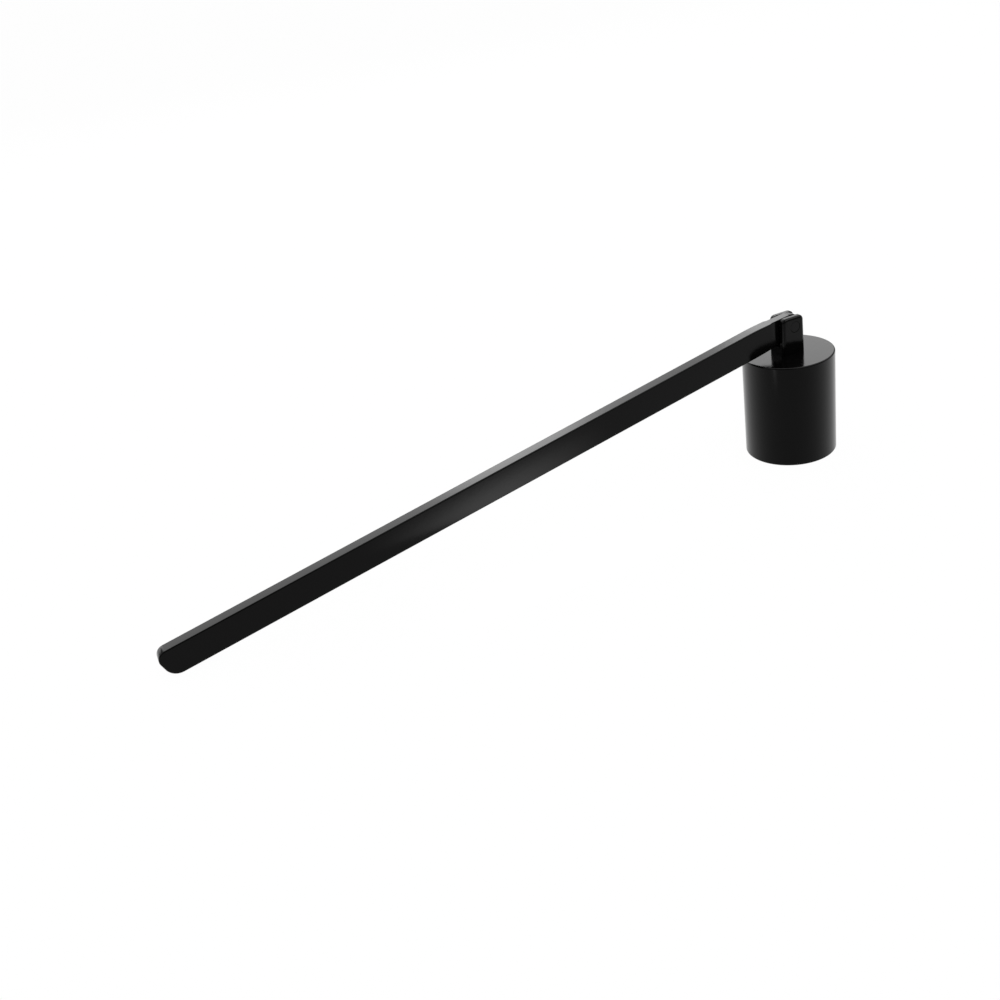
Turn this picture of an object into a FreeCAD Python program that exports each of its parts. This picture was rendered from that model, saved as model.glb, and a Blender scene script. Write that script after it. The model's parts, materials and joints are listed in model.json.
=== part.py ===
import FreeCAD, Part
import math
import os

# Candle snuffer: a cylindrical cup that hangs on a hinge at the end of a long flat handle.
# Frame, in millimetres: the origin is the centre of the cup's mouth, +Z points up through the cup's
# roof, the hinge pin lies along Y, and the handle reaches out along -X and droops until its far end
# rests on the plane that the cup's rim stands on.

# ---- Cup
cup_diameter = 21.2
cup_height = 24.7
cup_wall = 1.2
roof_thickness = 1.5
cup_inner_corner_radius = 3.0
cup_top_edge_radius = 0.35
cup_rim_edge_radius = 0.3

# ---- Handle, a flat bar that stands on edge
bar_width = 6.4
bar_thickness = 3.0
pivot_to_tip = 157.4
tip_slant = 1.35              # how far the far end's lower corner stands back from its upper one
tip_upper_radius = 2.1
tip_lower_radius = 3.0
bar_edge_radius = 0.3
tang_thickness = 2.2
tang_edge_radius = 0.15
eye_radius = 2.6              # of the tang's round end, about the pin
taper_length = 9.0            # from the pin's axis to where the bar starts to narrow
taper_blend_radius = 60.0     # of the soft corner where the bar starts to narrow

# ---- Yoke on the cup's roof
yoke_offset = 0.18            # of its middle from the cup's axis, towards the handle
yoke_width = 6.0              # where it stands on the roof
yoke_top_width = 5.7          # at the top of the ears
ear_thickness = 1.35
ear_rise = 2.4                # from the pin's axis up to the top of the ears
ear_corner_radius = 1.1
yoke_edge_radius = 0.7
yoke_base = 2.1               # solid height between the roof and the slot
lowest_droop = 16.5           # degrees below level at which the bar meets the cup's top edge

# ---- Hinge pin and its shim washers
pin_diameter = 2.6
pin_offset = 0.4              # from the yoke's middle, away from the handle
pin_recess = 0.05             # each end lies this far inside the ear's face
rivet_groove = 0.12           # chamfer on the pin's ends and on the mouths of its holes
shim_thickness = 0.2
shim_rim = 1.0                # radial width of the shim washers
running_clearance = 0.05      # radial, between the pin and what turns on it
side_play = 0.05              # between the tang and each shim washer

# ---- Screw that holds the yoke to the cup
screw_diameter = 2.5
screw_head_diameter = 5.0
screw_head_height = 1.8
screw_head_round = 1.0        # rounding of the pan head's outer edge
recess_width = 0.7            # width of one arm of the cross recess
recess_length = 2.6
recess_depth = 1.1
screw_tip_chamfer = 0.3
screw_hole_clearance = 0.1    # radial, in the roof
screw_tip_gap = 0.2           # from the screw's tip up to the floor of the slot
lock_washer_thickness = 0.6
lock_washer_rim = 1.05
lock_washer_split = 0.5

# ---- Clearances in the hinge
floor_clearance = 0.35        # between the tang and the floor of the slot at the lowest droop
shoulder_gap = 2.2            # from the yoke's side to the shoulder where the bar is thinned
shoulder_run = 1.0            # length of the shoulder's slope down to the tang

# ---- Sizes that follow from the ones above
cup_radius = cup_diameter / 2
cup_inner_radius = cup_radius - cup_wall
roof_underside = cup_height - roof_thickness
half_bar = bar_width / 2
half_yoke = yoke_width / 2
half_yoke_top = yoke_top_width / 2
slot_length = max(yoke_width, yoke_top_width)
pin_radius = pin_diameter / 2
screw_radius = screw_diameter / 2
slot_width = tang_thickness + 2 * (shim_thickness + side_play)
yoke_thickness = slot_width + 2 * ear_thickness
shim_outer_radius = pin_radius + running_clearance + shim_rim
shoulder_from_pivot = half_yoke + pin_offset + shoulder_gap


def eye_tangent():
    """Where the narrowing edge of the tang meets its round end, from the pin's axis, as (x, z)."""
    start = math.hypot(taper_length, half_bar)
    angle = math.pi - math.atan2(half_bar, taper_length) - math.acos(eye_radius / start)
    return eye_radius * math.cos(angle), eye_radius * math.sin(angle)


def half_width_at(along):
    """Half the width of the narrowing tang at a distance along it from the pin's axis."""
    tangent_x, tangent_z = eye_tangent()
    slope = (half_bar - tangent_z) / (taper_length + tangent_x)
    return tangent_z + slope * (along + tangent_x)


def tang_reach_below_pin():
    """How far below the pin's axis the drooping tang reaches within the yoke's width."""
    droop = math.radians(lowest_droop)
    half = half_width_at(shoulder_from_pivot)
    along = (half_yoke + pin_offset + half * math.sin(droop)) / math.cos(droop)
    return along * math.sin(droop) + half * math.cos(droop)


slot_depth = tang_reach_below_pin() + floor_clearance     # below the pin's axis
pin_height = cup_height + yoke_base + slot_depth
slot_floor = cup_height + yoke_base
yoke_top = pin_height + ear_rise


def rest_droop():
    """Degrees that the handle droops when its far end touches the plane of the cup's rim."""
    half_turn = (math.pi / 2 + math.atan2(tip_slant, bar_width)) / 2
    along = pivot_to_tip - tip_slant - tip_lower_radius / math.tan(half_turn)
    below = half_bar - tip_lower_radius
    fall = pin_height - tip_lower_radius
    return math.degrees(math.asin(fall / math.hypot(along, below)) - math.atan2(below, along))


Vector = FreeCAD.Vector
PIVOT = Vector(pin_offset - yoke_offset, 0, pin_height)
ALONG_Y = Vector(0, 1, 0)


def outline(corners):
    """A closed wire in the XZ plane through corners (x, z, radius), each rounded by its radius."""
    arcs = []
    starts = []
    ends = []
    for place, (x, z, radius) in enumerate(corners):
        before_x, before_z, _ = corners[place - 1]
        after_x, after_z, _ = corners[(place + 1) % len(corners)]
        corner = Vector(x, 0, z)
        back = (Vector(before_x, 0, before_z) - corner).normalize()
        onward = (Vector(after_x, 0, after_z) - corner).normalize()
        half_turn = back.getAngle(onward) / 2
        reach = radius / math.tan(half_turn)
        starts.append(corner + back * reach)
        ends.append(corner + onward * reach)
        inward = (back + onward).normalize()
        crown = corner + inward * (radius / math.sin(half_turn) - radius)
        arcs.append(Part.Arc(starts[-1], crown, ends[-1]).toShape() if radius else None)
    edges = []
    for place, arc in enumerate(arcs):
        if arc:
            edges.append(arc)
        edges.append(Part.makeLine(ends[place], starts[(place + 1) % len(starts)]))
    return Part.Wire(edges)


def plate(corners, thickness):
    """A plate of the given outline, its thickness centred on the XZ plane."""
    face = Part.Face(outline(corners))
    face.translate(Vector(0, -thickness / 2, 0))
    return face.extrude(Vector(0, thickness, 0))


def turned(corners):
    """A body of revolution about Z from its half section."""
    return Part.Face(outline(corners)).revolve(Vector(0, 0, 0), Vector(0, 0, 1), 360)


def rod_along_y(radius, length, centre=Vector(0, 0, 0)):
    """A cylinder along Y, centred on a point."""
    return Part.makeCylinder(radius, length, centre - ALONG_Y * (length / 2), ALONG_Y)


def edges_on_faces(shape, thickness, leave_out):
    """The edges that lie wholly on a plate's two large faces, without those leave_out picks."""
    chosen = []
    for edge in shape.Edges:
        box = edge.BoundBox
        on_face = box.YLength < 1e-6 and abs(abs(box.YMin) - thickness / 2) < 1e-6
        if on_face and not leave_out(box):
            chosen.append(edge)
    return chosen


def snuffer_cup():
    """The cup: straight wall, flat roof with a hole for the screw, generous inner corner."""
    hole = screw_radius + screw_hole_clearance
    return turned([
        (cup_inner_radius, 0, 0),
        (cup_radius, 0, cup_rim_edge_radius),
        (cup_radius, cup_height, cup_top_edge_radius),
        (hole, cup_height, 0),
        (hole, roof_underside, 0),
        (cup_inner_radius, roof_underside, cup_inner_corner_radius),
    ])


def pin_hole_cutter(ear_face):
    """The pin's hole with a chamfered mouth at an ear's outer face (y of that face)."""
    outward = 1 if ear_face > 0 else -1
    inner_end = PIVOT + ALONG_Y * (ear_face - outward * rivet_groove)
    return Part.makeCone(
        pin_radius, pin_radius + rivet_groove, rivet_groove, inner_end, ALONG_Y * outward)


def hinge_yoke():
    """The hinge block: two ears with rounded tops over a solid base that stands on the roof."""
    block = plate([
        (-half_yoke - yoke_offset, cup_height, 0),
        (half_yoke - yoke_offset, cup_height, 0),
        (half_yoke_top - yoke_offset, yoke_top, ear_corner_radius),
        (-half_yoke_top - yoke_offset, yoke_top, ear_corner_radius),
    ], yoke_thickness)
    outer_edges = edges_on_faces(
        block, yoke_thickness, lambda box: box.ZMax < cup_height + 1e-6)
    block = block.makeFillet(yoke_edge_radius, outer_edges)
    slot = Part.makeBox(
        slot_length, slot_width, yoke_top - slot_floor,
        Vector(-slot_length / 2 - yoke_offset, -slot_width / 2, slot_floor))
    pin_hole = rod_along_y(pin_radius, yoke_thickness, PIVOT)
    screw_hole = Part.makeCylinder(screw_radius, yoke_base, Vector(0, 0, cup_height))
    mouths = [pin_hole_cutter(side * yoke_thickness / 2) for side in (-1, 1)]
    return block.cut([slot, pin_hole, screw_hole] + mouths)


def hinge_pin():
    """The rivet through both ears, its ends chamfered and a hair below the ears' faces."""
    length = yoke_thickness - 2 * pin_recess
    pin = rod_along_y(pin_radius, length, PIVOT)
    ends = [edge for edge in pin.Edges if edge.BoundBox.YLength < 1e-6]
    return pin.makeChamfer(rivet_groove, ends)


def shim_washer(side):
    """A shim washer on the pin, flat against the inner face of the ear on that side of the slot."""
    middle = side * (slot_width - shim_thickness) / 2
    centre = PIVOT + ALONG_Y * middle
    ring = rod_along_y(shim_outer_radius, shim_thickness, centre)
    return ring.cut(rod_along_y(pin_radius + running_clearance, shim_thickness, centre))


def thinning_cutter(side):
    """Thins one face of the bar to the tang's thickness, past a sloping shoulder."""
    outside = bar_thickness
    corners = [
        (-shoulder_from_pivot, bar_thickness / 2),
        (shoulder_run - shoulder_from_pivot, tang_thickness / 2),
        (bar_width, tang_thickness / 2),
        (bar_width, outside),
        (-shoulder_from_pivot, outside),
    ]
    points = [Vector(x, side * y, -half_bar) for x, y in corners]
    return Part.Face(Part.makePolygon(points + points[:1])).extrude(Vector(0, 0, bar_width))


def flat_bar():
    """The bar with a slanting far end, narrowing towards the pin and thinned past its shoulders."""
    tangent_x, tangent_z = eye_tangent()
    bar = plate([
        (tangent_x, -tangent_z, 0),
        (tangent_x, tangent_z, 0),
        (-taper_length, half_bar, taper_blend_radius),
        (-pivot_to_tip, half_bar, tip_upper_radius),
        (tip_slant - pivot_to_tip, -half_bar, tip_lower_radius),
        (-taper_length, -half_bar, taper_blend_radius),
    ], bar_thickness)
    long_edges = edges_on_faces(bar, bar_thickness, lambda box: box.XLength < 1e-6)
    bar = bar.makeFillet(bar_edge_radius, long_edges)
    shoulder_foot = shoulder_from_pivot - shoulder_run
    past_shoulder = Part.makeBox(
        shoulder_foot + bar_width, bar_thickness, bar_width,
        Vector(-shoulder_foot, -bar_thickness / 2, -half_bar))
    return bar.cut([thinning_cutter(-1), thinning_cutter(1), past_shoulder])


def tang():
    """The thin plate from the shoulders to the round eye about the pin."""
    tangent_x, tangent_z = eye_tangent()
    shoulder_half = half_width_at(shoulder_from_pivot)
    neck = plate([
        (tangent_x, -tangent_z, 0),
        (tangent_x, tangent_z, 0),
        (-shoulder_from_pivot, shoulder_half, 0),
        (-shoulder_from_pivot, -shoulder_half, 0),
    ], tang_thickness)
    blank = neck.fuse(rod_along_y(eye_radius, tang_thickness)).removeSplitter()
    rim = edges_on_faces(
        blank, tang_thickness, lambda box: box.XMax < -shoulder_from_pivot + 1e-6)
    return blank.makeFillet(tang_edge_radius, rim)


def handle_bar():
    """The handle: bar and tang in one, bored for the pin and drooping from the hinge."""
    handle = flat_bar().fuse(tang()).removeSplitter()
    handle = handle.cut(rod_along_y(pin_radius + running_clearance, tang_thickness))
    handle.rotate(Vector(0, 0, 0), ALONG_Y, -rest_droop())
    handle.translate(PIVOT)
    return handle


def yoke_screw():
    """The pan head screw from inside the cup, with a cross recess in its head."""
    seat = roof_underside - lock_washer_thickness
    tip = slot_floor - screw_tip_gap
    head_bottom = seat - screw_head_height
    head = turned([
        (0, head_bottom, 0),
        (screw_head_diameter / 2, head_bottom, screw_head_round),
        (screw_head_diameter / 2, seat, 0),
        (0, seat, 0),
    ])
    shank = turned([
        (0, seat, 0),
        (screw_radius, seat, 0),
        (screw_radius, tip - screw_tip_chamfer, 0),
        (screw_radius - screw_tip_chamfer, tip, 0),
        (0, tip, 0),
    ])
    arms = []
    for length, width in ((recess_length, recess_width), (recess_width, recess_length)):
        corner = Vector(-length / 2, -width / 2, head_bottom)
        arms.append(Part.makeBox(length, width, recess_depth, corner))
    return head.fuse(shank).removeSplitter().cut(arms)


def lock_washer():
    """The split spring washer between the screw's head and the roof."""
    seat = Vector(0, 0, roof_underside - lock_washer_thickness)
    inner = screw_radius + screw_hole_clearance
    ring = Part.makeCylinder(inner + lock_washer_rim, lock_washer_thickness, seat)
    hole = Part.makeCylinder(inner, lock_washer_thickness, seat)
    split = Part.makeBox(
        inner + 2 * lock_washer_rim, lock_washer_split, lock_washer_thickness,
        seat - ALONG_Y * (lock_washer_split / 2))
    return ring.cut([hole, split])


pieces = {
    "snuffer_cup": snuffer_cup(),
    "hinge_yoke": hinge_yoke(),
    "hinge_pin": hinge_pin(),
    "hinge_washer_front": shim_washer(-1),
    "hinge_washer_back": shim_washer(1),
    "handle_bar": handle_bar(),
    "yoke_screw": yoke_screw(),
    "lock_washer": lock_washer(),
}

os.makedirs("parts", exist_ok=True)
for name, shape in pieces.items():
    shape.exportStep(os.path.join("parts", name + ".step"))
    box = shape.BoundBox
    print(f"{name}: valid {shape.isValid()}, solids {len(shape.Solids)}, volume {shape.Volume:.3f} mm3,"
          f" x {box.XMin:.2f} to {box.XMax:.2f}, y {box.YMin:.2f} to {box.YMax:.2f},"
          f" z {box.ZMin:.2f} to {box.ZMax:.2f}")
print(f"pin height {pin_height:.3f} mm, rest droop {rest_droop():.3f} degrees")
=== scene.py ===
import json
import math
from typing import NamedTuple

import bmesh
import bpy
from bpy.props import FloatProperty, FloatVectorProperty, IntProperty, PointerProperty
from mathutils import Matrix, Quaternion, Vector


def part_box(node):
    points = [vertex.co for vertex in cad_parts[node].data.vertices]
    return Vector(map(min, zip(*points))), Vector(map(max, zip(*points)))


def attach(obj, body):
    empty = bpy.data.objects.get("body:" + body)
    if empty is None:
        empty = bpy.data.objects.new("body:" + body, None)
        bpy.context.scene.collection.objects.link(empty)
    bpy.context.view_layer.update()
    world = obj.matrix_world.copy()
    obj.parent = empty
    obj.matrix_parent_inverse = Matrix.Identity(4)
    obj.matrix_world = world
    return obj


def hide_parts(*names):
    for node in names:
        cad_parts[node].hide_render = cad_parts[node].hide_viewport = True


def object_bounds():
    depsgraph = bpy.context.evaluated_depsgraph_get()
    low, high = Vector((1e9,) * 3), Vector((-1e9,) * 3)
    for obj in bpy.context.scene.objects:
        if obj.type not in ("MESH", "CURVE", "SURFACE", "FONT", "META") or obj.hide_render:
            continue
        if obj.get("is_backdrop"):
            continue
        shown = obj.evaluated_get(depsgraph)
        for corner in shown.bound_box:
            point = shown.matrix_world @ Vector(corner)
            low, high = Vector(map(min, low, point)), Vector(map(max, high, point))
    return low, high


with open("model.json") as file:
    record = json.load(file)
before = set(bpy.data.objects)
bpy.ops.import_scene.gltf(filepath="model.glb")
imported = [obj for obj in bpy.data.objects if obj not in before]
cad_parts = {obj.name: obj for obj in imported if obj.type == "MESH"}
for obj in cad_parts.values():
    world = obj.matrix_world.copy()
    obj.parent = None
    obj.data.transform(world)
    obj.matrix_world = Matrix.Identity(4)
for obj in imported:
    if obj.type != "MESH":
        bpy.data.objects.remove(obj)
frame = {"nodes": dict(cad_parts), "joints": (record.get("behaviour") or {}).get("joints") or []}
CAD_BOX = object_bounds()

bl_info = {
    "name": "Candle Snuffer",
    "version": (1, 0, 0),
    "blender": (4, 5, 0),
    "location": "View3D > Sidebar > Snuffer",
    "description": "Makes the cup, hinge and handle of a candle snuffer round its packed frame",
    "category": "Object",
}

MM = 0.001

# ---- Places read from the frame, in metres
CUP_LOW, CUP_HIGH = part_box("snuffer_cup")
YOKE_LOW, YOKE_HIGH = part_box("hinge_yoke")
PIN_LOW, PIN_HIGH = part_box("hinge_pin")
SHIM_LOW, SHIM_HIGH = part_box("hinge_washer_back")
BAR_LOW, BAR_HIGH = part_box("handle_bar")
SCREW_LOW, SCREW_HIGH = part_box("yoke_screw")
LOCK_LOW, LOCK_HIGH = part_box("lock_washer")
PIVOT = Vector(frame["joints"][0]["pos_m"])

SHARP = math.radians(25)        # faces that meet at more than this make an edge
WELD = 1e-6                     # points closer than this are one
ARC_STEP = math.radians(5)      # turn between two points of a rounded corner
CUT_PAST = 1 * MM               # how far a cutter reaches past the faces that it opens
ROUND_STEPS = 96                # faces round a pin, a screw or a hole
EYE_STEPS = 36                  # faces round the tang's end
WIDE_BEVEL_STEPS = 6            # faces across the ears' wide rounding
BEVEL_STEPS = 4                 # faces across the other roundings
FILLET_STEPS = 8                # faces across a turned part's rounding
PIN_FILLET_STEPS = 6            # the same for the small ones of the pin
CUP_SUPPORT = 0.06 * MM         # from a rounding of the cup to the support point that keeps it crisp
SMALL_SUPPORT = 0.03 * MM       # the same for the pin and the screw
TIP_EDGE = 0.3 * MM             # rounding of the screw's tip
SEAT_EDGE = 0.08 * MM           # rounding under the screw's head
RECESS_TAPER = 0.28             # share by which the cross recess narrows at its floor and opens below

# ---- Patterns of the finishes, their scales in features per metre
PEEL_SCALE, FINE_PEEL_SCALE = 900.0, 2600.0
FINE_PEEL = 0.4                 # depth of the fine peel against the coarse one
CLOUD_SCALE, CLOUD_DETAIL = 110.0, 3.0
GLOSS_SWING = 0.04              # how far the coat's roughness wanders
SPECK_SCALE = 260.0
SPECK_SIZE = 0.03               # radius of a speck as a share of its cell
SPECK_SHARE = 0.12              # share of the cells that hold one
SPECK_HEIGHT = 0.5
PEEL_HEIGHT = 0.1 * MM
GRAIN_SCALE, GRAIN_DETAIL = 9000.0, 3.0
STEEL_CLOUD_SCALE = 600.0
STEEL_DARK = 0.8                # the darker patches of the steel against its tone
STEEL_SWING = 0.1               # how far the steel's roughness wanders
GRAIN_STRENGTH = 0.1
GRAIN_HEIGHT = 0.02 * MM
PLATED_ROUGHNESS, SPRING_ROUGHNESS = 0.32, 0.38
SPRING_STRETCH = 6.0            # how far the spring steel's grain is drawn out


# =========================================================== settings


def length(name, description, default):
    """A size in metres, shown in the scene's unit."""
    return FloatProperty(
        name=name, description=description, default=default, min=0, unit="LENGTH", precision=5)


def share(name, description, default, highest=1.0):
    """A number from 0 to highest."""
    return FloatProperty(name=name, description=description, default=default, min=0, max=highest)


def colour(name, description, default):
    """A linear colour."""
    return FloatVectorProperty(
        name=name, description=description, default=default, size=3, min=0, max=1, subtype="COLOR")


class SnufferCupSizes(bpy.types.PropertyGroup):
    """Sizes of the cup."""
    radius: length("Radius", "Outer radius of the cup", (CUP_HIGH.y - CUP_LOW.y) / 2)
    height: length("Height", "Height of the cup", CUP_HIGH.z - CUP_LOW.z)
    wall: length("Wall", "Thickness of the cup's wall", 1.2 * MM)
    roof: length("Roof", "Thickness of the cup's roof", CUP_HIGH.z - LOCK_HIGH.z)
    screw_hole: length("Screw hole", "Radius of the hole in the roof", 1.35 * MM)
    top_edge: length("Top edge", "Rounding of the edge round the roof", 0.35 * MM)
    rim_edge: length("Rim edge", "Rounding of the outer edge of the mouth", 0.3 * MM)
    small_edge: length("Small edges", "Rounding of the inner rim and the screw hole", 0.1 * MM)
    inner_corner: length("Inner corner", "Rounding between the wall and the roof inside", 3.0 * MM)
    segments: IntProperty(name="Segments", description="Faces round the cup", default=256, min=24)


class SnufferHingeSizes(bpy.types.PropertyGroup):
    """Sizes of the yoke, its pin and its screw."""
    top_width: length("Top width", "Width of the yoke at the top of its ears", 5.7 * MM)
    ear: length("Ear", "Thickness of each ear", YOKE_HIGH.y - SHIM_HIGH.y)
    ear_corner: length("Ear corner", "Rounding of the ears' top corners", 1.1 * MM)
    ear_edge: length("Ear edge", "Rounding of the ears' outer edges", 0.7 * MM)
    slot_edge: length("Slot edge", "Rounding of the edges of the slot", 0.1 * MM)
    base: length("Base", "Solid height below the slot", 2.1 * MM)
    pin_edge: length("Pin edge", "Rounding of the pin's ends", 0.14 * MM)
    hole_edge: length("Hole edge", "Rounding of the mouths of the pin's hole", 0.12 * MM)
    screw_radius: length("Screw radius", "Radius of the screw's shank", 1.25 * MM)
    head_height: length("Screw head", "Height of the screw's head", LOCK_LOW.z - SCREW_LOW.z)
    head_round: length("Head rounding", "Rounding of the pan head", 1.0 * MM)
    recess_length: length("Recess length", "Length of the cross recess's arms, tip to tip", 2.6 * MM)
    recess_width: length("Recess width", "Width of the cross recess's arms", 0.7 * MM)
    recess_depth: length("Recess depth", "Depth of the cross recess", 1.1 * MM)


class SnufferHandleSizes(bpy.types.PropertyGroup):
    """Sizes of the handle."""
    reach: length("Reach", "From the hinge pin to the far end", 157.395 * MM)
    width: length("Width", "Width of the flat bar", 6.4 * MM)
    thickness: length("Thickness", "Thickness of the flat bar", BAR_HIGH.y - BAR_LOW.y)
    tip_slant: length("Tip slant", "How far the far end's lower corner stands back", 1.35 * MM)
    tip_upper: length("Tip upper", "Rounding of the far end's upper corner", 2.1 * MM)
    tip_lower: length("Tip lower", "Rounding of the far end's lower corner", 3.0 * MM)
    taper: length("Taper", "From the hinge pin to where the bar narrows", 9.0 * MM)
    taper_blend: length("Taper blend", "Rounding where the bar narrows", 60.0 * MM)
    eye: length("Eye", "Radius of the tang's round end", 2.6 * MM)
    tang: length("Tang", "Thickness of the tang", 2.2 * MM)
    shoulder: length("Shoulder", "From the hinge pin to the top of the shoulder", 5.6 * MM)
    shoulder_run: length("Shoulder run", "Length of the shoulder's slope", 1.0 * MM)
    long_edge: length("Long edge", "Rounding of the bar's long edges", 0.3 * MM)
    tang_edge: length("Tang edge", "Rounding of the tang's edges", 0.15 * MM)
    bore: length("Bore", "Radius of the hole for the pin", 1.35 * MM)


class SnufferFinish(bpy.types.PropertyGroup):
    """Colours and surface finish."""
    coat: colour("Coat", "Colour of the black coat", (0.0012, 0.00115, 0.00115))
    dust: colour("Dust", "Colour of the few specks of dust in the coat", (0.03, 0.03, 0.03))
    coat_roughness: share("Coat roughness", "Roughness of the satin coat", 0.14)
    coat_shine: share("Coat shine", "How much of a full gloss shows head on", 0.15)
    peel: share("Orange peel", "Depth of the coat's orange peel", 0.06)
    steel: colour("Steel", "Colour of the spring steel", (0.42, 0.42, 0.43))
    plating: colour("Plating", "Colour of the plated screw", (0.62, 0.63, 0.65))


class SnufferStudio(bpy.types.PropertyGroup):
    """The floor, the lamps and the camera."""
    floor: colour("Floor", "Colour of the floor", (0.85, 0.85, 0.85))
    floor_size: length("Floor size", "Side of the floor", 60.0)
    ambient: share("Ambient", "Brightness of the room", 0.32)
    floor_to_camera: share("Floor to camera", "How clear the floor is in view", 0.985)
    floor_to_gloss: share("Floor to gloss", "How far the floor turns white in reflections", 0.9)
    lens: FloatProperty(name="Lens", description="Focal length", default=40.35, unit="CAMERA")
    azimuth: FloatProperty(
        name="Azimuth", description="Camera's bearing", default=math.radians(-19.92), subtype="ANGLE")
    elevation: FloatProperty(
        name="Elevation", description="Camera's height angle", default=math.radians(27.94),
        subtype="ANGLE")
    roll: FloatProperty(
        name="Roll", description="Camera's lean", default=math.radians(-9.72), subtype="ANGLE")
    distance: length("Distance", "From the camera to the point that it looks at", 0.24402)


# =========================================================== node trees


class Value:
    """A socket of a node tree that takes part in arithmetic. Each operator adds one Math node."""

    def __init__(self, tree, socket):
        self.tree = tree
        self.socket = socket

    def math(self, operation, *values):
        sockets = dict(enumerate(values))
        return self.tree.node("ShaderNodeMath", {"operation": operation}, sockets).out()

    def __add__(self, other):
        return self.math("ADD", self, other)

    def __radd__(self, other):
        return self.math("ADD", other, self)

    def __sub__(self, other):
        return self.math("SUBTRACT", self, other)

    def __rsub__(self, other):
        return self.math("SUBTRACT", other, self)

    def __mul__(self, other):
        return self.math("MULTIPLY", self, other)

    def __rmul__(self, other):
        return self.math("MULTIPLY", other, self)

    def __neg__(self):
        return self.math("MULTIPLY", self, -1.0)

    def below(self, limit):
        return self.math("LESS_THAN", self, limit)


class Node:
    """A node whose outputs are taken as values."""

    def __init__(self, tree, node):
        self.tree = tree
        self.node = node

    def out(self, name=0):
        return Value(self.tree, self.node.outputs[name])


class Tree:
    """Adds nodes to a node tree: the type, then its settings, then its sockets' values or links."""

    def __init__(self, node_tree):
        self.node_tree = node_tree
        node_tree.nodes.clear()

    def node(self, kind, settings=None, sockets=None):
        node = self.node_tree.nodes.new(kind)
        for name, setting in (settings or {}).items():
            setattr(node, name, setting)
        for name, value in (sockets or {}).items():
            self.feed(node.inputs[name], value)
        return Node(self, node)

    def feed(self, socket, value):
        if isinstance(value, Value):
            self.node_tree.links.new(value.socket, socket)
        else:
            socket.default_value = value


def rgba(rgb):
    return (*rgb, 1.0)


# =========================================================== finishes


def new_material(name):
    """An empty material and its tree."""
    material = bpy.data.materials.new(name)
    material.use_nodes = True
    return material, Tree(material.node_tree)


def finish_material(tree, shader):
    """Ends a material's tree in its output."""
    tree.node("ShaderNodeOutputMaterial", None, {"Surface": shader})


def noise(tree, place, scale, detail=2.0):
    """A soft noise from 0 to 1, its scale in features per metre."""
    sockets = {"Vector": place, "Scale": scale, "Detail": detail}
    return tree.node("ShaderNodeTexNoise", None, sockets).out()


def coat_material(name, finish):
    """A satin black powder coat: near-black, faint orange peel, cloudy gloss and a few specks."""
    material, tree = new_material(name)
    place = tree.node("ShaderNodeTexCoord").out("Object")
    peel = noise(tree, place, PEEL_SCALE) + FINE_PEEL * noise(tree, place, FINE_PEEL_SCALE)
    clouds = noise(tree, place, CLOUD_SCALE, CLOUD_DETAIL)
    cells = tree.node("ShaderNodeTexVoronoi", None, {"Vector": place, "Scale": SPECK_SCALE})
    lot = tree.node("ShaderNodeSeparateColor", None, {"Color": cells.out("Color")}).out("Red")
    speck = cells.out("Distance").below(SPECK_SIZE) * lot.below(SPECK_SHARE)
    tint = tree.node(
        "ShaderNodeMix", {"data_type": "RGBA"},
        {"Factor": speck, 6: rgba(finish.coat), 7: rgba(finish.dust)})
    bump = tree.node(
        "ShaderNodeBump", None,
        {"Strength": finish.peel, "Distance": PEEL_HEIGHT, "Height": peel + SPECK_HEIGHT * speck})
    shader = tree.node("ShaderNodeBsdfPrincipled", None, {
        "Base Color": tint.out(2),
        "Roughness": finish.coat_roughness - GLOSS_SWING / 2 + GLOSS_SWING * clouds,
        "Specular Tint": rgba((finish.coat_shine,) * 3),
        "Normal": bump.out("Normal"),
    })
    finish_material(tree, shader.out())
    return material


def steel_material(name, tone, roughness, grain_stretch):
    """Bright steel with a fine grain, drawn out along Y by grain_stretch."""
    material, tree = new_material(name)
    place = tree.node("ShaderNodeTexCoord").out("Object")
    stretched = tree.node(
        "ShaderNodeMapping", None, {"Vector": place, "Scale": (1.0, 1.0 / grain_stretch, 1.0)}).out()
    grain = noise(tree, stretched, GRAIN_SCALE, GRAIN_DETAIL)
    clouds = noise(tree, place, STEEL_CLOUD_SCALE, CLOUD_DETAIL)
    dark = tuple(channel * STEEL_DARK for channel in tone)
    tint = tree.node(
        "ShaderNodeMix", {"data_type": "RGBA"}, {"Factor": clouds, 6: rgba(dark), 7: rgba(tone)})
    bump = tree.node(
        "ShaderNodeBump", None,
        {"Strength": GRAIN_STRENGTH, "Distance": GRAIN_HEIGHT, "Height": grain})
    shader = tree.node("ShaderNodeBsdfPrincipled", None, {
        "Base Color": tint.out(2),
        "Metallic": 1.0,
        "Roughness": roughness - STEEL_SWING / 2 + STEEL_SWING * grain,
        "Normal": bump.out("Normal"),
    })
    finish_material(tree, shader.out())
    return material


# =========================================================== shared mesh work


def add_object(name, mesh):
    """A new object of that mesh in the scene."""
    obj = bpy.data.objects.new(name, mesh)
    bpy.context.scene.collection.objects.link(obj)
    return obj


def drop_object(obj):
    """Removes a working object and its mesh."""
    mesh = obj.data
    bpy.data.objects.remove(obj)
    bpy.data.meshes.remove(mesh)


def settle(obj):
    """Turns the object's modifiers into a plain mesh."""
    graph = bpy.context.evaluated_depsgraph_get()
    mesh = bpy.data.meshes.new_from_object(
        obj.evaluated_get(graph), preserve_all_data_layers=True, depsgraph=graph)
    obj.modifiers.clear()
    obj.data = mesh
    mesh.name = obj.name


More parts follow.
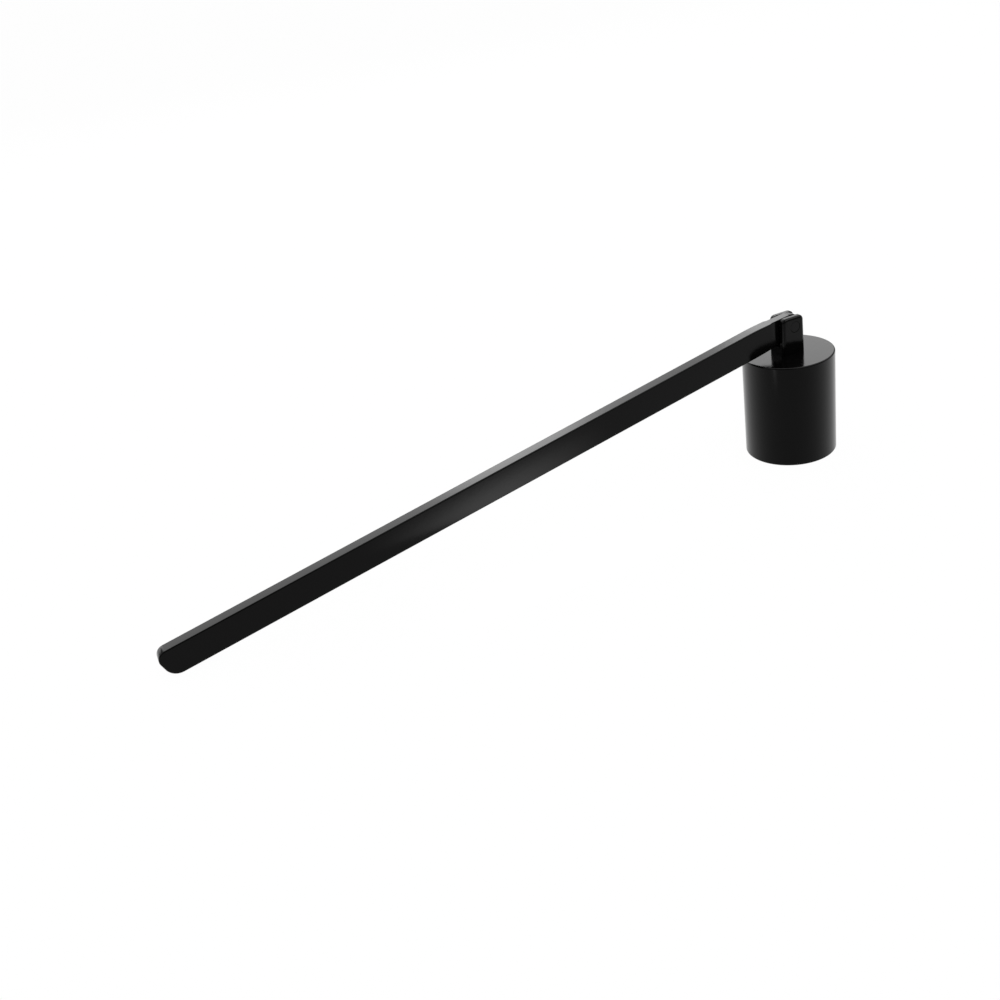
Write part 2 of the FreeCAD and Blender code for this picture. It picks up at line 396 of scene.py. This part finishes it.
def cut(obj, cutters):
    """Cuts every cutter out of the object."""
    for cutter in cutters:
        modifier = obj.modifiers.new("cut", "BOOLEAN")
        modifier.operation = "DIFFERENCE"
        modifier.solver = "EXACT"
        modifier.object = cutter
    settle(obj)
    for cutter in cutters:
        drop_object(cutter)


def prism(name, outline, low, high):
    """A closed plate of that XZ outline between two heights along Y."""
    bm = bmesh.new()
    near = [bm.verts.new((x, low, z)) for x, z in outline]
    far = [bm.verts.new((x, high, z)) for x, z in outline]
    bm.faces.new(near)
    bm.faces.new(far)
    for place in range(len(outline)):
        onward = (place + 1) % len(outline)
        bm.faces.new((near[place], near[onward], far[onward], far[place]))
    bmesh.ops.recalc_face_normals(bm, faces=bm.faces)
    mesh = bpy.data.meshes.new(name)
    bm.to_mesh(mesh)
    bm.free()
    return add_object(name, mesh)


def box(name, low, high):
    """A closed block between two corners."""
    outline = [(low[0], low[2]), (high[0], low[2]), (high[0], high[2]), (low[0], high[2])]
    return prism(name, outline, low[1], high[1])


def arc(centre, radius, start, end, steps):
    """Points of an arc in XZ, both ends included, its angles in degrees from +X towards +Z."""
    points = []
    for step in range(steps + 1):
        angle = math.radians(start + (end - start) * step / steps)
        points.append((centre[0] + radius * math.cos(angle), centre[1] + radius * math.sin(angle)))
    return points


def rounded(corners):
    """Points of a closed XZ outline through corners (x, z, radius), each rounded by its radius."""
    points = []
    for place, (x, z, radius) in enumerate(corners):
        corner = Vector((x, z))
        before = Vector(corners[place - 1][:2])
        after = Vector(corners[(place + 1) % len(corners)][:2])
        back = (before - corner).normalized()
        onward = (after - corner).normalized()
        if not radius:
            points.append(corner)
            continue
        half_turn = back.angle(onward) / 2
        centre = corner + (back + onward).normalized() * (radius / math.sin(half_turn))
        start = corner + back * (radius / math.tan(half_turn)) - centre
        turn = math.pi - 2 * half_turn
        if back.x * onward.y - back.y * onward.x > 0:
            turn = -turn
        steps = max(3, math.ceil(abs(turn) / ARC_STEP))
        for step in range(steps + 1):
            points.append(centre + Matrix.Rotation(turn * step / steps, 2) @ start)
    return points


def rod(name, radius, low, high, centre):
    """A closed cylinder along Y."""
    circle = arc(centre, radius, 0, 360, ROUND_STEPS)[:-1]
    return prism(name, circle, low, high)


def break_edges(obj, width_at, steps=BEVEL_STEPS, hole_centres=()):
    """Rounds the sharp outward edges, each by the width that width_at gives for its middle.

    A face with a hole in it is first split across the hole's centre, so that it fills cleanly.
    """
    bm = bmesh.new()
    bm.from_mesh(obj.data)
    bmesh.ops.remove_doubles(bm, verts=bm.verts, dist=WELD)
    bmesh.ops.dissolve_degenerate(bm, edges=bm.edges, dist=WELD)
    for centre in hole_centres:
        bmesh.ops.bisect_plane(
            bm, geom=bm.verts[:] + bm.edges[:] + bm.faces[:], dist=WELD,
            plane_co=centre, plane_no=(1, 0, 0))
    weight = bm.edges.layers.float.new("bevel_weight_edge")
    widths = {}
    for edge in bm.edges:
        if edge.calc_face_angle_signed(0.0) > SHARP:
            widths[edge] = width_at((edge.verts[0].co + edge.verts[1].co) / 2)
    widest = max(widths.values())
    for edge, width in widths.items():
        edge[weight] = width / widest
    for face in bm.faces:
        face.smooth = True
    bm.to_mesh(obj.data)
    bm.free()
    bevel = obj.modifiers.new("edges", "BEVEL")
    bevel.limit_method = "WEIGHT"
    bevel.width = widest
    bevel.segments = steps
    bevel.use_clamp_overlap = False
    settle(obj)


def smooth(obj):
    """Smooth faces with crisp edges, the large flats kept flat."""
    obj.data.shade_smooth()
    obj.data.set_sharp_from_angle(angle=SHARP)
    weighted = obj.modifiers.new("normals", "WEIGHTED_NORMAL")
    weighted.keep_sharp = True
    weighted.weight = 100           # the highest, at which the largest face decides
    settle(obj)


def hand_over(obj, material, body, slot, *nodes):
    """Gives a finished piece its finish and its body, and hides the nodes that it stands for. The slot
    is not used.
    """
    obj.data.materials.clear()
    obj.data.materials.append(material)
    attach(obj, body)
    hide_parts(*nodes)


# =========================================================== turned parts

# A turned part is described by the corners of its half section. Each corner is its distance from the
# axis, its height, its rounding, and the way that the outline leaves it, as (outwards, upwards).
OUT, UP, IN, DOWN = (1, 0), (0, 1), (-1, 0), (0, -1)


class TurnedPart:
    """A Geometry Nodes tree that turns a half section, given by named sizes, about the Z axis."""

    def __init__(self, name, sizes):
        self.group = bpy.data.node_groups.new(name, "GeometryNodeTree")
        self.tree = Tree(self.group)
        self.sizes = sizes
        self.socket_ids = {}
        for label, value in sizes.items():
            kind = "NodeSocketInt" if isinstance(value, int) else "NodeSocketFloat"
            self.add_input(label, kind)
        self.add_input("Material", "NodeSocketMaterial")
        self.group.interface.new_socket("Geometry", in_out="OUTPUT", socket_type="NodeSocketGeometry")
        self.inputs = self.tree.node("NodeGroupInput")

    def add_input(self, label, kind):
        socket = self.group.interface.new_socket(label, in_out="INPUT", socket_type=kind)
        self.socket_ids[label] = socket.identifier

    def size(self, label):
        return self.inputs.out(label)

    def switch(self, kind, options, index):
        """Picks one of the options by index."""
        node = self.group.nodes.new("GeometryNodeIndexSwitch")
        node.data_type = kind
        for _ in range(len(options) - len(node.index_switch_items)):
            node.index_switch_items.new()
        self.tree.feed(node.inputs[0], index)
        for place, option in enumerate(options):
            self.tree.feed(node.inputs[place + 1], option)
        return Node(self.tree, node).out()

    def section(self, corners, closed):
        """The half section as a curve: each rounding has a support point just past either end."""
        tree = self.tree
        support = self.size("Support")
        points = []
        roundings = []
        for place, (across, up, rounding, leaves) in enumerate(corners):
            arrives = corners[place - 1][3]
            reach = rounding + support
            for way, sign in ((arrives, -1), (None, 0), (leaves, 1)):
                turn = way or (0, 0)
                spot = {"X": across + reach * (turn[0] * sign), "Y": up + reach * (turn[1] * sign)}
                if not closed and way and (place, sign) in ((0, -1), (len(corners) - 1, 1)):
                    continue
                points.append(tree.node("ShaderNodeCombineXYZ", None, spot).out())
                roundings.append(0.0 if way else rounding)
        line = tree.node("GeometryNodeMeshLine", None, {"Count": len(points)}).out()
        curve = tree.node("GeometryNodeMeshToCurve", None, {"Mesh": line}).out()
        if closed:
            curve = tree.node(
                "GeometryNodeSetSplineCyclic", None, {"Geometry": curve, "Cyclic": True}).out()
        index = tree.node("GeometryNodeInputIndex").out()
        curve = tree.node("GeometryNodeSetPosition", None, {
            "Geometry": curve, "Position": self.switch("VECTOR", points, index)}).out()
        return tree.node("GeometryNodeFilletCurve", {"mode": "POLY"}, {
            "Curve": curve, "Count": self.size("Rounding steps"),
            "Radius": self.switch("FLOAT", roundings, index), "Limit Radius": False}).out()

    def turn(self, section, closed):
        """Turns the section about Z: one column of points for each step round, then welded."""
        tree = self.tree
        count = tree.node(
            "GeometryNodeAttributeDomainSize", {"component": "CURVE"}, {"Geometry": section}).out()
        columns = self.size("Segments")
        rows = count + (1 if closed else 0)
        grid = tree.node(
            "GeometryNodeMeshGrid", None, {"Vertices X": columns + 1, "Vertices Y": rows}).out()
        index = tree.node("GeometryNodeInputIndex").out()
        column = index.math("FLOOR", index.math("DIVIDE", index + 0.5, rows))
        row = index - column * rows
        on_section = row.math("MODULO", row, count)
        position = tree.node("GeometryNodeInputPosition").out()
        sample = tree.node("GeometryNodeSampleIndex", {"data_type": "FLOAT_VECTOR"}, {
            "Geometry": section, "Value": position, "Index": on_section}).out()
        spot = tree.node("ShaderNodeSeparateXYZ", None, {"Vector": sample})
        angle = index.math("DIVIDE", column * (2 * math.pi), columns)
        across = spot.out("X")
        place = tree.node("ShaderNodeCombineXYZ", None, {
            "X": across * angle.math("COSINE", angle),
            "Y": across * angle.math("SINE", angle),
            "Z": spot.out("Y")}).out()
        moved = tree.node(
            "GeometryNodeSetPosition", None, {"Geometry": grid, "Position": place}).out()
        welded = tree.node(
            "GeometryNodeMergeByDistance", None, {"Geometry": moved, "Distance": WELD}).out()
        shaded = tree.node(
            "GeometryNodeSetShadeSmooth", None, {"Geometry": welded, "Shade Smooth": True}).out()
        real = tree.node("GeometryNodeRealizeInstances", None, {"Geometry": shaded}).out()
        finished = tree.node("GeometryNodeSetMaterial", None, {
            "Geometry": real, "Material": self.size("Material")}).out()
        tree.node("NodeGroupOutput", None, {"Geometry": finished})

    def make(self, name, material):
        """Runs the tree on a new object and keeps its plain mesh, faces outwards."""
        obj = add_object(name, bpy.data.meshes.new(name))
        modifier = obj.modifiers.new("turned", "NODES")
        modifier.node_group = self.group
        for label, value in self.sizes.items():
            modifier[self.socket_ids[label]] = value
        modifier[self.socket_ids["Material"]] = material
        settle(obj)
        bm = bmesh.new()
        bm.from_mesh(obj.data)
        bmesh.ops.recalc_face_normals(bm, faces=bm.faces)
        bm.to_mesh(obj.data)
        bm.free()
        return obj


# =========================================================== the pieces


def make_cup(sizes, material):
    """The cup: straight wall, flat roof, rounded inner corner, open below."""
    part = TurnedPart("Snuffer cup", {
        "Radius": sizes.radius,
        "Height": sizes.height,
        "Wall": sizes.wall,
        "Roof": sizes.roof,
        "Screw hole": sizes.screw_hole,
        "Top edge": sizes.top_edge,
        "Rim edge": sizes.rim_edge,
        "Small edges": sizes.small_edge,
        "Inner corner": sizes.inner_corner,
        "Support": CUP_SUPPORT,
        "Rounding steps": FILLET_STEPS,
        "Segments": sizes.segments,
    })
    outside = part.size("Radius")
    inside = outside - part.size("Wall")
    top = part.size("Height")
    underside = top - part.size("Roof")
    hole = part.size("Screw hole")
    small = part.size("Small edges")
    section = part.section([
        (inside, 0.0, small, OUT),
        (outside, 0.0, part.size("Rim edge"), UP),
        (outside, top, part.size("Top edge"), IN),
        (hole, top, small, DOWN),
        (hole, underside, small, OUT),
        (inside, underside, part.size("Inner corner"), DOWN),
    ], closed=True)
    part.turn(section, closed=True)
    return part.make("cup_shell", material)


def make_yoke(sizes):
    """The hinge block: two ears with rounded tops on a solid base, drilled for pin and screw."""
    middle = (YOKE_LOW.x + YOKE_HIGH.x) / 2
    half_top = sizes.top_width / 2
    foot, top = YOKE_LOW.z, YOKE_HIGH.z
    outline = rounded([
        (YOKE_LOW.x, foot, 0),
        (YOKE_HIGH.x, foot, 0),
        (middle + half_top, top, sizes.ear_corner),
        (middle - half_top, top, sizes.ear_corner),
    ])
    yoke = prism("hinge_block", outline, YOKE_LOW.y, YOKE_HIGH.y)
    side = YOKE_HIGH.y - WELD

    def block_width_at(spot):
        return sizes.ear_edge if abs(spot.y) > side and spot.z > foot + WELD else 0.0

    break_edges(yoke, block_width_at, steps=WIDE_BEVEL_STEPS)
    slot_half = YOKE_HIGH.y - sizes.ear
    slot_floor = foot + sizes.base
    pin_radius = (PIN_HIGH.z - PIN_LOW.z) / 2
    screw_hole = rod(
        "screw_hole", sizes.screw_radius, -slot_floor - CUT_PAST, CUT_PAST - foot, (0, 0))
    screw_hole.data.transform(Matrix.Rotation(math.radians(-90), 4, "X"))
    slot_low = (YOKE_LOW.x - CUT_PAST, -slot_half, slot_floor)
    slot_high = (YOKE_HIGH.x + CUT_PAST, slot_half, top + CUT_PAST)
    pin_hole = rod(
        "pin_hole", pin_radius, YOKE_LOW.y - CUT_PAST, YOKE_HIGH.y + CUT_PAST, (PIVOT.x, PIVOT.z))
    cut(yoke, [box("slot", slot_low, slot_high), pin_hole, screw_hole])

    def cut_width_at(spot):
        if spot.z < foot + WELD:
            return 0.0
        if (Vector((spot.x, spot.z)) - Vector((PIVOT.x, PIVOT.z))).length < pin_radius + WELD:
            return sizes.hole_edge if abs(spot.y) > side else 0.0
        return sizes.slot_edge if abs(spot.y) < slot_half + WELD else 0.0

    break_edges(yoke, cut_width_at, hole_centres=[(0, 0, 0), PIVOT])
    smooth(yoke)
    return yoke


def make_pin(sizes, material):
    """The rivet through the ears, its ends lightly domed."""
    part = TurnedPart("Hinge pin", {
        "Radius": (PIN_HIGH.z - PIN_LOW.z) / 2,
        "Half length": (PIN_HIGH.y - PIN_LOW.y) / 2,
        "Edge": sizes.pin_edge,
        "Support": SMALL_SUPPORT,
        "Rounding steps": PIN_FILLET_STEPS,
        "Segments": ROUND_STEPS,
    })
    radius = part.size("Radius")
    end = part.size("Half length")
    edge = part.size("Edge")
    section = part.section([
        (0.0, -end, 0.0, OUT),
        (radius, -end, edge, UP),
        (radius, end, edge, IN),
        (0.0, end, 0.0, IN),
    ], closed=False)
    part.turn(section, closed=False)
    pin = part.make("hinge_rivet", material)
    pin.data.transform(Matrix.Translation(PIVOT) @ Matrix.Rotation(math.radians(90), 4, "X"))
    return pin


def eye_tangent(sizes):
    """Where the narrowing edge of the tang meets its round end, from the hinge pin, as (x, z)."""
    half = sizes.width / 2
    start = math.hypot(sizes.taper, half)
    angle = math.pi - math.atan2(half, sizes.taper) - math.acos(sizes.eye / start)
    return sizes.eye * math.cos(angle), sizes.eye * math.sin(angle)


def rest_droop(sizes):
    """How far the handle droops when its far end touches the floor, as an angle."""
    corner = sizes.tip_lower
    half_turn = (math.pi / 2 + math.atan2(sizes.tip_slant, sizes.width)) / 2
    along = sizes.reach - sizes.tip_slant - corner / math.tan(half_turn)
    below = sizes.width / 2 - corner
    return math.asin((PIVOT.z - corner) / math.hypot(along, below)) - math.atan2(below, along)


def thinning_cutter(sizes, side):
    """Thins one face of the bar to the tang's thickness, past a sloping shoulder."""
    outside = sizes.thickness
    outline = [
        (-sizes.shoulder, sizes.thickness / 2),
        (sizes.shoulder_run - sizes.shoulder, sizes.tang / 2),
        (sizes.width, sizes.tang / 2),
        (sizes.width, outside),
        (-sizes.shoulder, outside),
    ]
    cutter = prism("cheek", outline, -sizes.width, sizes.width)
    cutter.data.transform(Matrix.Rotation(math.radians(90 * side), 4, "X"))
    return cutter


def make_handle(sizes):
    """The flat bar on edge: rounded far end, and a thin tapering tang with a round eye on the pin."""
    half = sizes.width / 2
    side = sizes.thickness / 2
    tangent_x, tangent_z = eye_tangent(sizes)
    start = math.degrees(math.atan2(tangent_z, tangent_x))
    outline = rounded([
        (-sizes.taper, half, sizes.taper_blend),
        (-sizes.reach, half, sizes.tip_upper),
        (sizes.tip_slant - sizes.reach, -half, sizes.tip_lower),
        (-sizes.taper, -half, sizes.taper_blend),
        (tangent_x, -tangent_z, 0),
        (tangent_x, tangent_z, 0),
    ])[:-2]
    outline += arc((0, 0), sizes.eye, -start, start, EYE_STEPS)
    bar = prism("handle_flat", outline, -side, side)
    bore = rod("bore", sizes.bore, -side - CUT_PAST, side + CUT_PAST, (0, 0))
    cut(bar, [thinning_cutter(sizes, -1), thinning_cutter(sizes, 1), bore])

    def width_at(spot):
        if spot.x < -sizes.shoulder - WELD:
            return sizes.long_edge
        return sizes.tang_edge

    break_edges(bar, width_at, hole_centres=[(0, 0, 0)])
    smooth(bar)
    bar.data.transform(Matrix.Translation(PIVOT) @ Matrix.Rotation(-rest_droop(sizes), 4, "Y"))
    return bar


def make_screw(sizes, material):
    """The pan head screw inside the cup, with a tapered cross recess."""
    seat = SCREW_LOW.z + sizes.head_height
    part = TurnedPart("Yoke screw", {
        "Head radius": (SCREW_HIGH.x - SCREW_LOW.x) / 2,
        "Head bottom": SCREW_LOW.z,
        "Seat": seat,
        "Tip": SCREW_HIGH.z,
        "Shank radius": sizes.screw_radius,
        "Head rounding": sizes.head_round,
        "Tip edge": TIP_EDGE,
        "Seat edge": SEAT_EDGE,
        "Support": SMALL_SUPPORT,
        "Rounding steps": FILLET_STEPS,
        "Segments": ROUND_STEPS,
    })
    head = part.size("Head radius")
    shank = part.size("Shank radius")
    section = part.section([
        (0.0, part.size("Head bottom"), 0.0, OUT),
        (head, part.size("Head bottom"), part.size("Head rounding"), UP),
        (head, part.size("Seat"), part.size("Seat edge"), IN),
        (shank, part.size("Seat"), 0.0, UP),
        (shank, part.size("Tip"), part.size("Tip edge"), IN),
        (0.0, part.size("Tip"), 0.0, IN),
    ], closed=False)
    part.turn(section, closed=False)
    screw = part.make("pan_head_screw", material)
    cut(screw, [cross_recess(sizes)])
    smooth(screw)
    return screw


def cross_recess(sizes):
    """The cutter for the screw's cross recess, narrower at its floor."""
    arm = sizes.recess_length / 2
    half = sizes.recess_width / 2
    quarter = [(arm, -half), (arm, half), (half, half)]
    outline = []
    for turn in range(4):
        angle = math.radians(90 * turn)
        for x, y in quarter:
            outline.append(
                (x * math.cos(angle) - y * math.sin(angle), x * math.sin(angle) + y * math.cos(angle)))
    cutter = prism("cross", outline, -sizes.recess_depth, sizes.recess_depth)
    for vertex in cutter.data.vertices:
        taper = 1 - RECESS_TAPER if vertex.co.y > 0 else 1 + RECESS_TAPER
        vertex.co.x *= taper
        vertex.co.z *= taper
    cutter.data.transform(
        Matrix.Translation((0, 0, SCREW_LOW.z)) @ Matrix.Rotation(math.radians(90), 4, "X"))
    return cutter


# =========================================================== studio


def floor_material(studio):
    """Pale floor that is nearly clear to the camera, so that the white room shows through it."""
    material, tree = new_material("studio_floor")
    ray = tree.node("ShaderNodeLightPath")
    glossy = ray.out("Is Glossy Ray") + ray.out("Is Transmission Ray")
    matt = tree.node("ShaderNodeBsdfDiffuse", None, {"Color": rgba(studio.floor)})
    white = tree.node("ShaderNodeEmission", None, {"Color": rgba((1, 1, 1)), "Strength": 1.0})
    top = tree.node(
        "ShaderNodeMixShader", None,
        {0: glossy * studio.floor_to_gloss, 1: matt.out(), 2: white.out()})
    clear = tree.node("ShaderNodeBsdfTransparent")
    back = tree.node("ShaderNodeNewGeometry").out("Backfacing")
    clearness = back + (1 - back) * ray.out("Is Camera Ray") * studio.floor_to_camera
    both = tree.node("ShaderNodeMixShader", None, {0: clearness, 1: top.out(), 2: clear.out()})
    finish_material(tree, both.out())
    return material


def make_world(studio):
    """An even room: white behind the object, and dim enough elsewhere for a satin black."""
    world = bpy.data.worlds.new("studio_room")
    world.use_nodes = True
    bpy.context.scene.world = world
    tree = Tree(world.node_tree)
    ray = tree.node("ShaderNodeLightPath")
    strength = studio.ambient + (1 - studio.ambient) * ray.out("Is Camera Ray")
    room = tree.node(
        "ShaderNodeBackground", None, {"Color": rgba((1, 1, 1)), "Strength": strength})
    tree.node("ShaderNodeOutputWorld", None, {"Surface": room.out()})


def bearing(azimuth, elevation):
    """The unit vector towards a bearing from +Y towards +X and a height angle, in degrees."""
    a = math.radians(azimuth)
    e = math.radians(elevation)
    return Vector((math.sin(a) * math.cos(e), math.cos(a) * math.cos(e), math.sin(e)))


class Softbox(NamedTuple):
    """A rectangular lamp that faces the object, seen from there under these angles, in degrees."""
    name: str
    azimuth: float
    elevation: float
    across: float
    tall: float
    brightness: float               # what a mirror shows of it, where 1 is white
    feather: float                  # share of its width over which each edge fades


SOFTBOXES = (
    Softbox("back", 12, 32, 76, 40, 1.6, 0.08),
    Softbox("top", 12, 70, 60, 36, 2.0, 0.2),
    Softbox("left", -80, 42, 50, 44, 1.2, 0.2),
    Softbox("right", 95, 42, 50, 44, 1.2, 0.2),
    Softbox("glow", 4, 32, 28, 30, 0.4, 0.4),
    Softbox("strip_left", 10, 32, 14, 26, 2.9, 0.35),
    Softbox("strip_middle", 18, 32, 12, 26, 0.7, 0.5),
    Softbox("strip_right", 32.6, 33, 10, 18, 2.2, 0.2),
    Softbox("front_top", 150, 58, 60, 40, 3.6, 0.3),
    Softbox("low_left", -30, 8, 24, 16, 1.3, 0.3),
)
SOFTBOX_DISTANCE = 0.9

# ---- The low strip beside the handle, which its front and the cup's side mirror
STRIP_SIZE = (72 * MM, 16 * MM)
STRIP_PLACE = Vector((-72, -22, 2.5)) * MM
STRIP_BRIGHTNESS = 5.0
STRIP_FEATHER = 0.5

# From the middle of the CAD box to the point that the camera looks at
AIM_OFFSET = Vector((-4.81, 0, -4.34)) * MM


def soft_edges(lamp, feather):
    """Fades the lamp towards its edges, as the cloth of a softbox does."""
    lamp.use_nodes = True
    tree = Tree(lamp.node_tree)
    place = tree.node("ShaderNodeNewGeometry").out("Parametric")
    spot = tree.node("ShaderNodeSeparateXYZ", None, {"Vector": place})
    strength = 1.0
    for axis in ("X", "Y"):
        from_middle = spot.out(axis) - 0.5
        inside = 0.5 - from_middle.math("ABSOLUTE", from_middle)
        fade = tree.node(
            "ShaderNodeMapRange", {"interpolation_type": "SMOOTHSTEP"},
            {"Value": inside, "From Min": 0.0, "From Max": feather}).out()
        strength = fade * strength
    glow = tree.node("ShaderNodeEmission", None, {"Color": rgba((1, 1, 1)), "Strength": strength})
    tree.node("ShaderNodeOutputLight", None, {"Surface": glow.out()})


def make_lamp(name, size, brightness, feather, place, towards, lean=0.0):
    """A rectangular lamp at a place, its back to the direction given, turned about it by lean."""
    lamp = bpy.data.lights.new(name, "AREA")
    lamp.shape = "RECTANGLE"
    lamp.size, lamp.size_y = size
    lamp.energy = brightness * math.pi * size[0] * size[1]
    soft_edges(lamp, feather)
    obj = bpy.data.objects.new(name, lamp)
    bpy.context.scene.collection.objects.link(obj)
    obj.location = place
    obj.rotation_mode = "QUATERNION"
    obj.rotation_quaternion = towards.to_track_quat("Z", "Y") @ Quaternion((0, 0, 1), lean)


def make_softbox(softbox, aim):
    """Hangs a softbox round the object, as large as its angles say."""
    towards = bearing(softbox.azimuth, softbox.elevation)
    size = [
        2 * SOFTBOX_DISTANCE * math.tan(math.radians(angle / 2))
        for angle in (softbox.across, softbox.tall)
    ]
    place = aim + towards * SOFTBOX_DISTANCE
    make_lamp(softbox.name, size, softbox.brightness, softbox.feather, place, towards)


def make_camera(studio, aim):
    """The camera, aimed at a point in the object and leaning a little."""
    camera = bpy.data.cameras.new("studio_camera")
    camera.lens = studio.lens
    camera.clip_start = 0.01
    camera.clip_end = 100.0
    obj = bpy.data.objects.new("studio_camera", camera)
    bpy.context.scene.collection.objects.link(obj)
    bpy.context.scene.camera = obj
    a, e = studio.azimuth, studio.elevation
    back = Vector((math.sin(a) * math.cos(e), -math.cos(a) * math.cos(e), math.sin(e)))
    obj.location = aim + back * studio.distance
    obj.rotation_mode = "QUATERNION"
    obj.rotation_quaternion = (-back).to_track_quat("-Z", "Y") @ Quaternion((0, 0, 1), studio.roll)


# =========================================================== operators


class SNUFFER_OT_cup(bpy.types.Operator):
    """Make the cup"""
    bl_idname = "snuffer.cup"
    bl_label = "Cup"

    def execute(self, context):
        coat = coat_material("cup_coat", context.scene.snuffer_finish)
        cup = make_cup(context.scene.snuffer_cup, coat)
        hand_over(cup, coat, "cup", "cup_coat", "snuffer_cup")
        return {"FINISHED"}


class SNUFFER_OT_hinge(bpy.types.Operator):
    """Make the yoke and the pin of the hinge"""
    bl_idname = "snuffer.hinge"
    bl_label = "Hinge"

    def execute(self, context):
        sizes = context.scene.snuffer_hinge
        finish = context.scene.snuffer_finish
        hand_over(
            make_yoke(sizes), coat_material("yoke_coat", finish), "cup", "yoke_coat", "hinge_yoke")
        coat = coat_material("pin_coat", finish)
        hand_over(make_pin(sizes, coat), coat, "cup", "pin_coat", "hinge_pin")
        return {"FINISHED"}


class SNUFFER_OT_screw(bpy.types.Operator):
    """Make the screw that holds the yoke, and finish its washer and the hinge's shims"""
    bl_idname = "snuffer.screw"
    bl_label = "Screw and washers"

    def execute(self, context):
        finish = context.scene.snuffer_finish
        plated = steel_material("zinc_plating", finish.plating, PLATED_ROUGHNESS, 1.0)
        screw = make_screw(context.scene.snuffer_hinge, plated)
        hand_over(screw, plated, "cup", "plated_steel", "yoke_screw")
        spring = steel_material(
            "spring_steel", finish.steel, SPRING_ROUGHNESS, SPRING_STRETCH)
        for node in ("lock_washer", "hinge_washer_front", "hinge_washer_back"):
            washer = frame["nodes"][node]
            washer.data.materials.clear()
            washer.data.materials.append(spring)
        return {"FINISHED"}


class SNUFFER_OT_handle(bpy.types.Operator):
    """Make the flat bar handle"""
    bl_idname = "snuffer.handle"
    bl_label = "Handle"

    def execute(self, context):
        handle = make_handle(context.scene.snuffer_handle)
        coat = coat_material("bar_coat", context.scene.snuffer_finish)
        hand_over(handle, coat, "handle", "bar_coat", "handle_bar")
        return {"FINISHED"}


class SNUFFER_OT_studio(bpy.types.Operator):
    """Make the floor, the room, the softboxes and the camera"""
    bl_idname = "snuffer.studio"
    bl_label = "Studio"

    def execute(self, context):
        studio = context.scene.snuffer_studio
        half = studio.floor_size / 2
        mesh = bpy.data.meshes.new("studio_floor")
        mesh.from_pydata(
            [(-half, -half, 0), (half, -half, 0), (half, half, 0), (-half, half, 0)], [], [(0, 1, 2, 3)])
        floor = add_object("studio_floor", mesh)
        floor.data.materials.append(floor_material(studio))
        floor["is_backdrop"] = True
        make_world(studio)
        middle = (CAD_BOX[0] + CAD_BOX[1]) / 2
        for softbox in SOFTBOXES:
            make_softbox(softbox, middle)
        droop = rest_droop(context.scene.snuffer_handle)
        make_lamp(
            "low_strip", STRIP_SIZE, STRIP_BRIGHTNESS, STRIP_FEATHER, STRIP_PLACE,
            Vector((0, -1, 0)), droop)
        make_camera(studio, middle + AIM_OFFSET)
        context.scene.view_settings.view_transform = "Standard"
        return {"FINISHED"}


class SNUFFER_PT_panel(bpy.types.Panel):
    """The snuffer's panel in the 3D view's sidebar"""
    bl_idname = "SNUFFER_PT_panel"
    bl_label = "Candle Snuffer"
    bl_space_type = "VIEW_3D"
    bl_region_type = "UI"
    bl_category = "Snuffer"

    def draw(self, context):
        for operator in OPERATORS:
            self.layout.operator(operator.bl_idname)


SETTINGS = {
    "snuffer_cup": SnufferCupSizes,
    "snuffer_hinge": SnufferHingeSizes,
    "snuffer_handle": SnufferHandleSizes,
    "snuffer_finish": SnufferFinish,
    "snuffer_studio": SnufferStudio,
}
OPERATORS = (
    SNUFFER_OT_cup,
    SNUFFER_OT_hinge,
    SNUFFER_OT_screw,
    SNUFFER_OT_handle,
    SNUFFER_OT_studio,
)


def register():
    for name, group in SETTINGS.items():
        bpy.utils.register_class(group)
        setattr(bpy.types.Scene, name, PointerProperty(type=group))
    for operator in OPERATORS:
        bpy.utils.register_class(operator)
    bpy.utils.register_class(SNUFFER_PT_panel)


def unregister():
    bpy.utils.unregister_class(SNUFFER_PT_panel)
    for operator in reversed(OPERATORS):
        bpy.utils.unregister_class(operator)
    for name, group in reversed(SETTINGS.items()):
        delattr(bpy.types.Scene, name)
        bpy.utils.unregister_class(group)


def main():
    register()
    bpy.ops.snuffer.cup()
    bpy.ops.snuffer.hinge()
    bpy.ops.snuffer.screw()
    bpy.ops.snuffer.handle()
    bpy.ops.snuffer.studio()
    boxes = {"cad": CAD_BOX, "visual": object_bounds()}
    {name: [list(corner) for corner in pair] for name, pair in boxes.items()}


if __name__ == "__main__":
    main()
